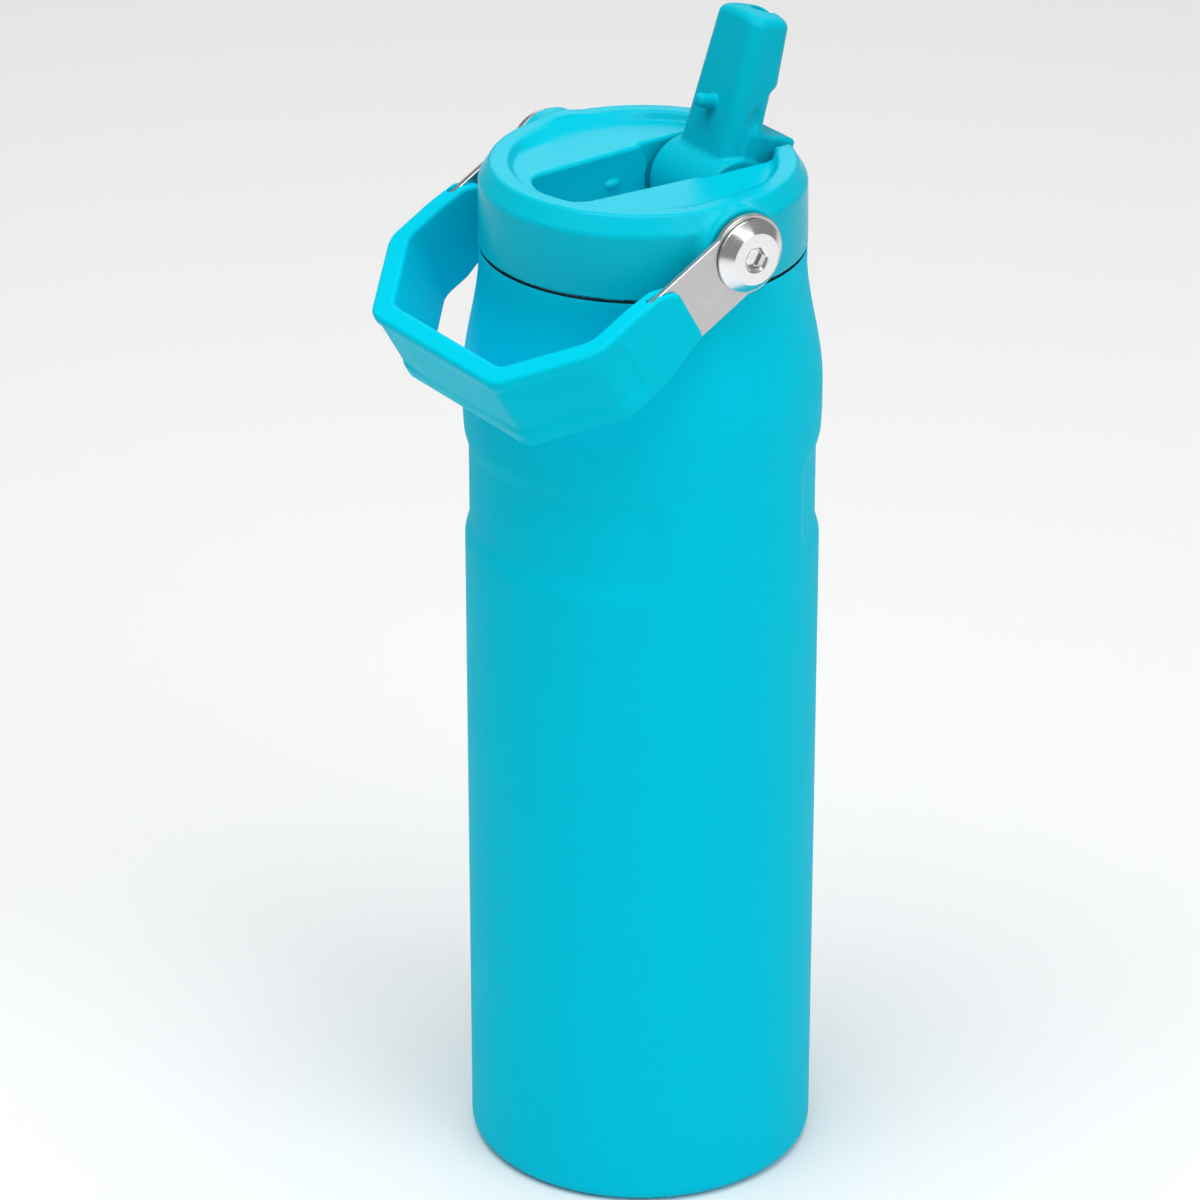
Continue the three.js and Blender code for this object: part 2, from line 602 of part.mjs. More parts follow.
// Lays a shape drawn as (along the arm, across the arm) between two distances from the middle plane.
function handlePlate(shape, side, innerX, outerX) {
  const [lowX, highX] = side > 0 ? [innerX, outerX] : [-outerX, -innerX];
  const settings = { depth: highX - lowX, bevelEnabled: false, curveSegments: 8 };
  const plate = new THREE.ExtrudeGeometry(shape, settings);
  const basis = new THREE.Matrix4().makeBasis(alongArm, acrossArm, new THREE.Vector3(1, 0, 0));
  plate.translate(0, 0, lowX).applyMatrix4(basis).translate(0, 0, PIVOT_Z);
  return toSolid(plate);
}

function arm(side) {
  const meet = Math.sqrt(ARM_EYE_R ** 2 - ARM_HALF_WIDTH ** 2) + NECK_BLEND;
  const shape = new THREE.Shape();
  shape.moveTo(ARM_LENGTH, ARM_HALF_WIDTH);
  shape.lineTo(meet, ARM_HALF_WIDTH);
  shape.absarc(0, 0, ARM_EYE_R, EYE_START, FULL_TURN - EYE_START, false);
  shape.lineTo(meet, -ARM_HALF_WIDTH);
  shape.lineTo(ARM_LENGTH, -ARM_HALF_WIDTH);
  const hole = new THREE.Path();
  hole.absarc(0, 0, BUSH_R + 0.2, 0, FULL_TURN, true);
  shape.holes.push(hole);
  return handlePlate(shape, side, ARM_INNER_X, ARM_OUTER_X);
}

function grip() {
  const mirrored = (points) => points.map(([x, s]) => [-x, s]).reverse();
  const outline = [...GRIP_OUTSIDE, ...mirrored(GRIP_OUTSIDE), ...mirrored(GRIP_INSIDE), ...GRIP_INSIDE];
  const geometry = new THREE.ExtrudeGeometry(outlineShape(outline), {
    depth: GRIP_TOP + GRIP_LOW - 2 * GRIP_BEVEL,
    bevelThickness: GRIP_BEVEL,
    bevelSize: GRIP_BEVEL,
    bevelOffset: -GRIP_BEVEL,
    bevelSegments: 2,
  });
  const basis = new THREE.Matrix4().makeBasis(new THREE.Vector3(1, 0, 0), alongArm, acrossArm);
  geometry.translate(0, 0, GRIP_BEVEL - GRIP_TOP).applyMatrix4(basis).translate(0, 0, PIVOT_Z);
  const pocketHalf = ARM_HALF_WIDTH + PART_GAP;
  const pocketEnd = ARM_LENGTH + PART_GAP;
  const pocket = outlineShape(
    [[0, -pocketHalf], [pocketEnd, -pocketHalf], [pocketEnd, pocketHalf], [0, pocketHalf]]);
  const innerX = GRIP_INNER_X - CUT_PAST;
  const outerX = GRIP_OUTER_X + CUT_PAST;
  let body = toSolid(geometry);
  for (const side of [1, -1]) {
    for (const taper of [GRIP_UPPER_TAPER, GRIP_LOWER_TAPER]) {
      body = body.subtract(handlePlate(outlineShape(taper), side, innerX, outerX));
    }
    body = body.subtract(handlePlate(pocket, side, ARM_INNER_X - PART_GAP, ARM_OUTER_X + PART_GAP));
  }
  return body;
}

// ---- assembly ----

const bottle = new THREE.Group();

bottle.add(
  toMesh('outer_shell', outerShell(), powderCoat()),
  toMesh('base_cup', baseCup(), powderCoat()),
  toMesh('port_cover', portCover(), powderCoat()),
  toMesh('vacuum_plug', vacuumPlug(), nylon()),
  toMesh('getter_ring', getter(), bareSteel()),
  toMesh('inner_vessel', innerVessel(), bareSteel()),
  toMesh('lid_seal', lidSeal(), silicone()),
  toMesh('lid_shell', lidShell(), tealPlastic()),
  toMesh('lid_core', lidCore(), clearPlastic()),
  toMesh('vent_valve', ventValve(), silicone()),
  toMesh('vent_grommet', ventGrommet(), silicone()),
  toMesh('spout', spout(), tealPlastic()),
  toMesh('spout_seal', spoutSeal(), silicone()),
  toMesh('straw_sleeve', strawSleeve(), silicone()),
  toMesh('straw', straw(), clearPlastic()),
  toMesh('handle_grip', grip(), tealPlastic()),
);

for (const [word, side] of [['left', -1], ['right', 1]]) {
  bottle.add(
    toMesh(`spout_pin_${word}`, spoutPin(side), bareSteel()),
    toMesh(`pivot_insert_${word}`, insert(side), brass()),
    toMesh(`pivot_spacer_${word}`, spacer(side), nylon()),
    toMesh(`pivot_bush_${word}`, bush(side), bareSteel()),
    toMesh(`pivot_screw_${word}`, screw(side), bareSteel()),
    toMesh(`handle_arm_${word}`, arm(side), bareSteel()),
  );
}

export default bottle;
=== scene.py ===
"""Looks for the insulated water bottle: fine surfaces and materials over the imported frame.

Shapes are worked out in millimetres and scaled to metres as they become meshes.
The moulded pieces are signed-distance fields: negative inside, skinned by skin().
"""
import json
import math

import bpy
import numpy as np
from mathutils import Matrix, Vector


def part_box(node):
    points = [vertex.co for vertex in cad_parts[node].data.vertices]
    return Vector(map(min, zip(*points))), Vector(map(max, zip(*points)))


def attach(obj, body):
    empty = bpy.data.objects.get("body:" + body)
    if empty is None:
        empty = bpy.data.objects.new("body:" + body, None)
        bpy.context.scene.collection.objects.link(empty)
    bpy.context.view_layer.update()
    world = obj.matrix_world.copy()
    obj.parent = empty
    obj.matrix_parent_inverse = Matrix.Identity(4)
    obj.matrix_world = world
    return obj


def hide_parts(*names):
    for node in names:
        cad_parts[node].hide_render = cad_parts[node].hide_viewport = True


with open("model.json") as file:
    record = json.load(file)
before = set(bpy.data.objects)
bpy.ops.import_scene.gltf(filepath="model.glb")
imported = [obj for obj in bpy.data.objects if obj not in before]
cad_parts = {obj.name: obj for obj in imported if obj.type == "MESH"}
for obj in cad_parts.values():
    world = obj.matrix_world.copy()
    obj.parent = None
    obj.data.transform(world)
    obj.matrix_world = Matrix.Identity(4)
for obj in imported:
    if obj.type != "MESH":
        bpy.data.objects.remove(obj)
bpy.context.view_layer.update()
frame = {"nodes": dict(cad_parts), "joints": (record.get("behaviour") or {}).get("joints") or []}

MM = 0.001


def box_mm(node):
    """The lowest and highest corners of a CAD node, in millimetres."""
    return [np.array(corner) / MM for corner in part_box(node)]


joints = {joint["name"]: joint for joint in frame["joints"]}
AXLE = np.array(joints["spout_flip"]["pos_m"]) / MM
PIVOT = np.array(joints["handle_swing"]["pos_m"]) / MM
LID_LOW, LID_HIGH = box_mm("lid_shell")
BODY_HIGH = box_mm("outer_shell")[1]
SEAM_Z = box_mm("lid_seal")[1][2] + 0.1

# ---- sizes, in millimetres ----

BODY_R = 38
SHOULDER_R = 38.2
NECK_R = 34.5
STEEL = 0.5
NECK_LIP = (0, 0.12), (0.03, 0.03), (0.1, 0), (STEEL, 0.6)
BASE_CORNER = 3.2
FOOT_INNER_R = 33.2
SWELL_LOW_Z = 171
SWELL_HIGH_Z = 176.5
SHOULDER_LOW_Z = 182
SHOULDER_HIGH_Z = 210
PANEL_MID_Z = 159
PANEL_HALF_HEIGHT = 13
PANEL_HALF_ANGLE = 64
PANEL_CORNER = 7
PANEL_SLOPE = 5
PANEL_DEPTH = 1

LID_R = 34.65
LID_TAPER = 0.0135
LID_WALL_INNER_R = 32.2
SEAM_LIFT = 0.45
NECK_LIFT = 0.55
CHAMFER_FOOT = (34.2, 227.8)
CHAMFER_RUN = 2.2
CHAMFER_CURVE = 0.35
CREST_CURVE = 0.5
LEDGE_CURVE = 0.5
CREST_Z = 231.3
DECK_Z = 229.4
DECK_R = 27
DECK_PINCHED_R = 24.3
CREST_INNER_R = 28.2
DECK_THICKNESS = 2.2
BOSS_R = 9.5
BOSS_FACE_X = 35.5

SLOT_FLOOR_Z = 216.5
SLOT_FRONT_Y = -21.5
SLOT_FRONT_HALF = 8.9
SLOT_FRONT_SAG = 3.5
SLOT_SPREAD = 0.0575
SLOT_CORNER = 1.5
SLOT_FLOOR_CURVE = 0.8
SLOT_EDGE_CURVE = 0.9
POCKET_HALF = 11.7
POCKET_CURVE = 0.4
POCKET_FILLET = 0.3
POCKET_SLANT = 0.39
POCKET_START_Y = 6.8
TROUGH_END_Y = POCKET_START_Y + 3
TROUGH_END_CURVE = 0.2
NOTCH_HALF = 9.9
NOTCH_Z = 226.4
NOTCH_CURVE = 1.2
NOTCH_START_CURVE = 0.5
NOTCH_FILLET = 0.8
LID_WALL = 1.5

PINCH_ANGLES = (14, 40)
BOSS_START_X = 29
BOSS_CURVE = 0.8
BOSS_FILLET = 1.6
UNDERCUT_START_R = LID_R - 0.3
UNDERCUT_SLOPE = 0.9
UNDERCUT_RUN = 1.5
SEAM_CURVE = 0.2
INSERT_HOUSE_R = 6.2
INSERT_HOUSE_X = 24.5
INSERT_HOLE_R = 3.8
INSERT_HOLE_X = 26.6
OUTLET_R = 4.2
OUTLET_HALF = 4
OUTLET_Z = -9
VENT_R = 4
VENT_HALF = 3
PIN_HOLE_R = 1.5
PIN_HOLE_DEPTH = 1.2
DETENT_X = 10.2
DETENT_RISE = 1
DETENT_SIZE = (1.15, 2, 1.1)
DETENT_FILLET = 0.25

SPOUT_LEAN = math.radians(17.5)
SPOUT_LENGTH = 38.6
BLADE_HALF = 9.2
BLADE_TAPER = 0.17
BLADE_FRONT = -4.85
BLADE_REAR = 4.4
BLADE_CORNER = 3.2
THUMB_STEP_UP = 22.3
THUMB_STEP = 1.3
THUMB_STEP_RUN = 2.4
HEEL_HALF = 8.9
HEEL_LOW = 9.8
HEEL_SLOPE = 0.3
HEEL_HIGH = 14
HEEL_REACH = 13
HEEL_CURVE = 0.9
HEEL_END_CURVE = 1.7
HEEL_LOW_CURVE = 0.7
HEEL_FILLET = 2.4
PEG_R = 1.5
PEG_REACH = 9.4
PEG_ROOT = 3.5
PEG_CURVE = 1.1
PEG_FILLET = 0.6
MOUTH_BACK = 1.8
MOUTH_R = 2.5
MOUTH_CURVE = 0.45
BORE_BEND = 12
CROWN_RISE = 0.35
CROWN_CURVE = 1.4
CROWN_ACROSS = 0.02
CROWN_FRONT, CROWN_FRONT_START = 0.034, 0.5
CROWN_REAR, CROWN_REAR_START = 0.08, 2
NECKING, NECKING_UP, NECKING_RUN = 0.7, 25, 11
DIMPLE_X = 8.9
DIMPLE_BACK = 0.4
DIMPLE_DROP = 0.6
DIMPLE_SIZE = (1, 1.6, 2.4)
DIMPLE_CURVE = 0.3
BARREL_R = 8.6
BARREL_HALF = 10
BARREL_CURVE = 0.7
BARREL_FILLET = 0.7
BARREL_GAP = 0.35
VENT_REACH = 18

HANDLE_DROP = math.radians(30)
GRIP_START = 17.4
GRIP_INNER_X = 34
GRIP_OUTER_X = 38.7
GRIP_OUTER_SLANT = (38.7, 39.6), (22.6, 57.3)
GRIP_INNER_SLANT = (34, 37.2), (20.1, 52.2)
GRIP_OUTER_CURVE = 1.8
GRIP_INNER_CURVE = 0.9
GRIP_SIDE_CURVE = 1
GRIP_END_CURVE = 1.2
BAR_INNER = 52.2
BAR_OUTER = 57
GRIP_TOP = 8.6
GRIP_LOW = 10.2
GRIP_UPPER_EDGE = (10, 17.5, 21.5, 28), (-2.5, -5.9, -8, -GRIP_TOP)
GRIP_LOWER_EDGE = (10, 16, 21, 30.5), (6, 6.8, 7.9, GRIP_LOW)
GRIP_PANEL_MID = 0.1
GRIP_PANEL_HALF = 6.2
GRIP_PANEL_START = 33.4
GRIP_PANEL_CORNER = 2.5
GRIP_PANEL_SLOPE = (-0.7, 0.9)
GRIP_PANEL_DEPTH = 0.15
GRIP_PANEL_SIDE_DEPTH = 0.4
GRIP_PANEL_SIDE = (10, 24)
ARM_POCKET_X = 36.8
ARM_POCKET_HALF = (0.76, 8)
ARM_POCKET_GAP = 0.1
ARM_INNER_X, ARM_OUTER_X = 36.1, 37.5
ARM_HALF_WIDTH = 7.6
ARM_EYE_R = 8.6
ARM_HOLE_R = 4.1
ARM_LENGTH = 33
ARM_THICKNESS = 1.4
ARM_EDGE = 0.22
ARM_NECK_ANGLE = math.radians(62)
ARM_NECK_BLEND = 7
SCREW_SHANK_R = 1.9
SCREW_TIP_X = 27.2
SCREW_SEAT_X = ARM_OUTER_X + 0.15
SCREW_HEAD_R = 7.8
SCREW_FACE_R = 5.5
SCREW_FACE_X = 40.5
HEX_R = 2.5


# ---- fields ----

def join(a, b, fillet):
    """The union of two fields, with a fillet where they meet."""
    corner = np.hypot(np.maximum(fillet - a, 0), np.maximum(fillet - b, 0))
    return np.maximum(fillet, np.minimum(a, b)) - corner


def both(a, b, fillet):
    """The intersection of two fields, with a rounded edge."""
    corner = np.hypot(np.maximum(fillet + a, 0), np.maximum(fillet + b, 0))
    return np.minimum(-fillet, np.maximum(a, b)) + corner


def cut(a, b, fillet):
    """Field a with field b taken out of it, and a rounded edge round the cut."""
    return both(a, -b, fillet)


def step_up(value, low, high):
    """Rises smoothly from 0 at low to 1 at high."""
    t = np.clip((value - low) / (high - low), 0, 1)
    return t * t * (3 - 2 * t)


def slant(a, b, start, end):
    """Distance from the line through two points, positive on its right-hand side."""
    (a0, b0), (a1, b1) = start, end
    length = math.hypot(a1 - a0, b1 - b0)
    return ((a - a0) * (b1 - b0) - (b - b0) * (a1 - a0)) / length


def rounded_box(a, b, half_a, half_b, corner):
    da = np.abs(a) - half_a + corner
    db = np.abs(b) - half_b + corner
    return np.hypot(np.maximum(da, 0), np.maximum(db, 0)) + np.minimum(np.maximum(da, db), 0) - corner


def slope_of(field, points, reach=0.02):
    """The field and its gradient at some points."""
    columns = []
    for axis in range(3):
        shift = np.zeros(3)
        shift[axis] = reach
        ahead = field(*(points + shift).T)
        behind = field(*(points - shift).T)
        columns.append((ahead - behind) / (2 * reach))
    return field(*points.T), np.stack(columns, axis=1)


def cell_points(value, cells):
    """One point in each cell that the surface crosses, at the middle of its edge crossings."""
    total = np.zeros((len(cells), 3))
    hits = np.zeros(len(cells))
    for number in range(8):
        near = np.array([number >> 2 & 1, number >> 1 & 1, number & 1])
        for axis in range(3):
            if near[axis]:
                continue
            reach = np.eye(3, dtype=int)[axis]
            a = value[tuple((cells + near).T)]
            b = value[tuple((cells + near + reach).T)]
            crossed = (a < 0) != (b < 0)
            share = a[crossed] / (a[crossed] - b[crossed])
            total[crossed] += cells[crossed] + near + share[:, None] * reach
            hits[crossed] += 1
    return total / hits[:, None]


def cell_faces(inside, number):
    """Quads that join the cells round each grid edge that the surface crosses."""
    quads = []
    for axis in range(3):
        u, v = (axis + 1) % 3, (axis + 2) % 3
        ahead = np.roll(inside, -1, axis=axis)
        crossed = inside != ahead
        for side in range(3):
            edge = [slice(None)] * 3
            edge[side] = slice(-1, None) if side == axis else slice(0, 1)
            crossed[tuple(edge)] = False
            if side != axis:
                edge[side] = slice(-1, None)
                crossed[tuple(edge)] = False
        start = np.argwhere(crossed)
        du, dv = np.eye(3, dtype=int)[u], np.eye(3, dtype=int)[v]
        ring = [number[tuple((start - shift).T)] for shift in (du + dv, dv, 0 * du, du)]
        quad = np.stack(ring, axis=1)
        outward = inside[tuple(start.T)]
        quads.append(np.where(outward[:, None], quad, quad[:, ::-1]))
    return np.concatenate(quads)


def skin(field, low, high, step):
    """Points, quads and normals of a field's surface, skinned on a grid and drawn onto the field."""
    axes = [np.arange(a - 2 * step, b + 2.5 * step, step) for a, b in zip(low, high)]
    value = field(*np.meshgrid(*axes, indexing="ij"))
    inside = value < 0
    counts = sum(
        inside[i:len(axes[0]) - 1 + i, j:len(axes[1]) - 1 + j, k:len(axes[2]) - 1 + k].astype(int)
        for i in (0, 1) for j in (0, 1) for k in (0, 1))
    cells = np.argwhere((counts > 0) & (counts < 8))
    number = np.full(counts.shape, -1)
    number[tuple(cells.T)] = np.arange(len(cells))
    origin = np.array([axis[0] for axis in axes])
    points = origin + step * cell_points(value, cells)
    for _ in range(4):
        depth, gradient = slope_of(field, points)
        size = np.maximum((gradient ** 2).sum(axis=1), 0.05)
        move = np.clip(depth / size, -step / 2, step / 2)
        points = points - move[:, None] * gradient
    gradient = slope_of(field, points)[1]
    normals = gradient / np.maximum(np.linalg.norm(gradient, axis=1), 1e-6)[:, None]
    return points, cell_faces(inside, number), normals


# ---- meshes ----

def add_mesh(name, points, faces, normals=None, turn=None):
    """A smooth mesh object from points in millimetres, turned and moved by a 4x4 matrix."""
    points = np.asarray(points, float)
    if turn is not None:
        points = points @ turn[:3, :3].T + turn[:3, 3]
        normals = None if normals is None else normals @ turn[:3, :3].T
    mesh = bpy.data.meshes.new(name)
    mesh.from_pydata((points * MM).tolist(), [], [list(map(int, face)) for face in faces])
    mesh.validate()
    mesh.polygons.foreach_set("use_smooth", [True] * len(mesh.polygons))
    if normals is not None:
        mesh.normals_split_custom_set_from_vertices(normals.tolist())
    piece = bpy.data.objects.new(name, mesh)
    bpy.context.scene.collection.objects.link(piece)
    return piece


def add_skin(name, field, low, high, step, turn=None):
    points, faces, normals = skin(field, low, high, step)
    return add_mesh(name, points, faces, normals, turn)


def loft(name, rings, closed=True, turn=None):
    """A mesh over rings of points of one length. An open loft ends in two flat caps."""
    count = len(rings[0])
    points = np.concatenate(rings)
    faces = []
    pairs = list(zip(range(len(rings)), range(1, len(rings))))
    if closed:
        pairs.append((len(rings) - 1, 0))
    for low, high in pairs:
        for i in range(count):
            j = (i + 1) % count
            faces.append([low * count + i, low * count + j, high * count + j, high * count + i])
    if not closed:
        faces.append([i for i in reversed(range(count))])
        faces.append([(len(rings) - 1) * count + i for i in range(count)])
    piece = add_mesh(name, points, faces, turn=turn)
    face_out(piece)
    even = piece.modifiers.new("even", "WEIGHTED_NORMAL")
    even.keep_sharp = True
    return piece


def face_out(piece):
    """Turns every face of a closed mesh outwards."""
    corner = [piece.data.vertices[face.vertices[0]].co for face in piece.data.polygons]
    volume = sum(face.area * face.normal.dot(point) for face, point in zip(piece.data.polygons, corner))
    if volume < 0:
        piece.data.flip_normals()


def circle(r, z, sides):
    angle = np.arange(sides) * 2 * math.pi / sides
    return np.stack([r * np.cos(angle), r * np.sin(angle), np.full(sides, float(z))], axis=1)


def along_x(side):
    """Turns +Z to +X (side 1) or -X (side -1) and moves the origin to the handle's pivot."""
    turn = np.eye(4)
    turn[:3, :3] = Matrix.Rotation(side * math.pi / 2, 3, "Y")
    turn[:3, 3] = PIVOT
    return turn


# ---- bottle ----

def panel_depth(x, y, z):
    """How far the finger panels are pressed into the wall at a point on it."""
    from_middle = np.arctan2(np.abs(x), np.abs(y)) * BODY_R
    half_length = math.radians(PANEL_HALF_ANGLE) * BODY_R
    edge = rounded_box(from_middle, z - PANEL_MID_Z, half_length, PANEL_HALF_HEIGHT, PANEL_CORNER)
    return PANEL_DEPTH * step_up(-edge, 0, PANEL_SLOPE)


def wall_radius(z):
    swell = (SHOULDER_R - BODY_R) * step_up(z, SWELL_LOW_Z, SWELL_HIGH_Z)
    return BODY_R + swell - (SHOULDER_R - NECK_R) * step_up(z, SHOULDER_LOW_Z, SHOULDER_HIGH_Z)


def outer_shell():
    sides = 288
    top = BODY_HIGH[2] + NECK_LIFT
    corner = [
        (BODY_R - BASE_CORNER + BASE_CORNER * math.sin(turn), BASE_CORNER - BASE_CORNER * math.cos(turn))
        for turn in np.linspace(0, math.pi / 2, 12)]
    heights = np.concatenate([
        np.linspace(BASE_CORNER + 1, PANEL_MID_Z - PANEL_HALF_HEIGHT - 1, 30),
        np.arange(PANEL_MID_Z - PANEL_HALF_HEIGHT, SHOULDER_HIGH_Z, 0.8),
        [top - 1.2]])
    outside = corner + [(float(wall_radius(z)), z) for z in heights]
    lip = [(NECK_R - inset, top - drop) for inset, drop in NECK_LIP]
    inside = [(r - STEEL, z) for r, z in reversed(outside) if z > BASE_CORNER]
    floor = [
        (BODY_R - BASE_CORNER, STEEL), (FOOT_INNER_R, STEEL), (FOOT_INNER_R - 0.1, STEEL / 2),
        (FOOT_INNER_R, 0.02)]
    rings = []
    for r, z in outside + lip + inside + floor:
        ring = circle(r, z, sides)
        depth = panel_depth(*ring.T)
        ring[:, :2] *= (1 - depth / BODY_R)[:, None]
        rings.append(ring)
    return loft("wall_powder_coated", rings)


# ---- lid ----

def slot_void(x, y, z):
    """The space that the spout folds into: trough, barrel pocket and rear notch."""
    ax = np.abs(x)
    radius = (SLOT_FRONT_HALF ** 2 + SLOT_FRONT_SAG ** 2) / (2 * SLOT_FRONT_SAG)
    middle = SLOT_FRONT_Y - SLOT_FRONT_SAG + radius
    sides = ax - SLOT_FRONT_HALF - SLOT_SPREAD * (y - SLOT_FRONT_Y)
    front = np.hypot(x, np.minimum(y - middle, 0)) - radius
    front = np.where(y < middle, front, ax - radius)
    plan = both(both(sides, front, SLOT_CORNER), y - TROUGH_END_Y, TROUGH_END_CURVE)
    trough = both(plan, SLOT_FLOOR_Z - z, SLOT_FLOOR_CURVE)
    back = AXLE[1] + BARREL_R + BARREL_GAP
    round_pocket = np.hypot(y - AXLE[1], z - AXLE[2]) - BARREL_R - BARREL_GAP
    start = POCKET_START_Y + POCKET_SLANT * (DECK_Z - z)
    high_pocket = np.maximum(np.maximum(start - y, y - back), AXLE[2] - z)
    pocket = both(np.minimum(round_pocket, high_pocket), ax - POCKET_HALF, POCKET_CURVE)
    notch = both(ax - NOTCH_HALF, NOTCH_Z - z, NOTCH_CURVE)
    notch = both(notch, AXLE[1] - y, NOTCH_START_CURVE)
    return join(join(trough, pocket, POCKET_FILLET), notch, NOTCH_FILLET)


def lid_outside(x, y, z):
    """The lid's wall, crest ring, deck and bosses, as if the lid were solid."""
    r = np.hypot(x, y)
    side = r - LID_R + LID_TAPER * (z - SEAM_Z)
    chamfer = slant(r, z, CHAMFER_FOOT, (CHAMFER_FOOT[0] - CHAMFER_RUN, CREST_Z))
    from_side = np.degrees(np.arctan2(np.abs(y), np.abs(x)))
    pinch = 1 - step_up(from_side, *PINCH_ANGLES)
    run = CREST_INNER_R - DECK_R + (DECK_R - DECK_PINCHED_R) * pinch
    rise = CREST_Z - DECK_Z
    ledge = (CREST_INNER_R - run * (CREST_Z - z) / rise - r) * rise / np.hypot(run, rise)
    crest = both(z - CREST_Z, ledge, LEDGE_CURVE)
    top = join(z - DECK_Z, crest, LEDGE_CURVE)
    outside = both(both(side, chamfer, CHAMFER_CURVE), top, CREST_CURVE)
    boss = both(np.hypot(y, z - PIVOT[2]) - BOSS_R, np.abs(x) - BOSS_FACE_X, BOSS_CURVE)
    outside = join(outside, np.maximum(boss, BOSS_START_X - np.abs(x)), BOSS_FILLET)
    undercut = UNDERCUT_SLOPE * np.clip(UNDERCUT_START_R - r, 0, UNDERCUT_RUN)
    edge = SEAM_Z + SEAM_LIFT + undercut
    bottom = edge - (edge - LID_LOW[2]) * step_up(LID_WALL_INNER_R - r, 0, 1)
    return both(outside, (bottom - z) * 0.8, SEAM_CURVE)


def lid_holes(x, y, z):
    """The holes for the inserts, the drink, the vent and the spout's pins."""
    ax = np.abs(x)
    from_pivot = np.hypot(y, z - PIVOT[2])
    insert = np.maximum(from_pivot - INSERT_HOLE_R, INSERT_HOLE_X - ax)
    outlet = np.maximum(np.hypot(x, y - AXLE[1]) - OUTLET_R, np.abs(z - AXLE[2] - OUTLET_Z) - OUTLET_HALF)
    vent = np.maximum(
        np.hypot(x, y - AXLE[1] + VENT_REACH) - VENT_R, np.abs(z - SLOT_FLOOR_Z) - VENT_HALF)
    from_axle = np.hypot(y - AXLE[1], z - AXLE[2])
    pin = np.maximum(from_axle - PIN_HOLE_R, ax - POCKET_HALF - PIN_HOLE_DEPTH)
    return np.minimum(np.minimum(insert, outlet), np.minimum(vent, pin))


def lid_field(x, y, z):
    ax = np.abs(x)
    void = slot_void(x, y, z)
    insert_house = np.maximum(np.hypot(y, z - PIVOT[2]) - INSERT_HOUSE_R, INSERT_HOUSE_X - ax)
    hollow = np.maximum(np.hypot(x, y) - LID_WALL_INNER_R, z - DECK_Z + DECK_THICKNESS)
    hollow = np.maximum(np.maximum(hollow, LID_WALL - void), -insert_house)
    lid = cut(np.maximum(lid_outside(x, y, z), -hollow), void, SLOT_EDGE_CURVE)
    wide, long, high = DETENT_SIZE
    across = (ax - DETENT_X) / wide
    along = (y - AXLE[1] + VENT_REACH) / long
    detent = np.sqrt(across ** 2 + along ** 2 + ((z - AXLE[2] - DETENT_RISE) / high) ** 2)
    lid = join(lid, (detent - 1) * 1.1, DETENT_FILLET)
    return np.maximum(lid, -lid_holes(x, y, z))


def lid_shell():
    low = np.array([-BOSS_FACE_X, -LID_R, LID_LOW[2]])
    high = np.array([BOSS_FACE_X, LID_R, LID_HIGH[2]])
    return add_skin("lid_moulding", lid_field, low, high, step=0.42)


# ---- spout, in its own directions: across, back and up the blade ----

def spout_blade(x, back, up):
    half = BLADE_HALF * (1 - BLADE_TAPER * np.clip(up, 0, None) / SPOUT_LENGTH)
    thumb = THUMB_STEP * step_up(up, THUMB_STEP_UP, THUMB_STEP_UP + THUMB_STEP_RUN)
    rear = BLADE_REAR + thumb - NECKING * np.clip((up - NECKING_UP) / NECKING_RUN, 0, 1)
    middle = (BLADE_FRONT + rear) / 2
    section = rounded_box(x, back - middle, half, (rear - BLADE_FRONT) / 2, BLADE_CORNER)
    crown = up - SPOUT_LENGTH - CROWN_RISE + CROWN_ACROSS * x ** 2
    crown = crown + CROWN_FRONT * np.clip(CROWN_FRONT_START - back, 0, None) ** 2
    crown = crown + CROWN_REAR * np.clip(back - CROWN_REAR_START, 0, None) ** 2
    return np.maximum(both(section, crown, CROWN_CURVE), -up)


def spout_heel(x, back, up):
    top = both(np.abs(x) - HEEL_HALF, up - HEEL_HIGH, HEEL_CURVE)
    top = both(top, back - HEEL_REACH, HEEL_END_CURVE)
    underside = (HEEL_LOW + HEEL_SLOPE * (back - HEEL_REACH) - up) * 0.95
    return np.maximum(both(top, underside, HEEL_LOW_CURVE), -back)


def spout_field(x, back, up):
    ax = np.abs(x)
    barrel = both(np.hypot(back, up) - BARREL_R, ax - BARREL_HALF, BARREL_CURVE)
    body = join(spout_blade(x, back, up), spout_heel(x, back, up), HEEL_FILLET)
    body = join(body, barrel, BARREL_FILLET)
    peg = both(np.hypot(x, up - VENT_REACH) - PEG_R, -back - PEG_REACH, PEG_CURVE)
    body = join(body, np.maximum(peg, back + PEG_ROOT), PEG_FILLET)
    bore_back = MOUTH_BACK * step_up(up, THUMB_STEP_UP, THUMB_STEP_UP + BORE_BEND)
    mouth = np.maximum(np.hypot(x, back - bore_back) - MOUTH_R, -up)
    body = cut(body, mouth, MOUTH_CURVE)
    deep, wide, high = DIMPLE_SIZE
    flat = ((ax - DIMPLE_X) / deep) ** 2 + ((back - DIMPLE_BACK) / wide) ** 2
    dimple = np.sqrt(flat + ((up - VENT_REACH + DIMPLE_DROP) / high) ** 2)
    return cut(body, (dimple - 1) * 0.9, DIMPLE_CURVE)


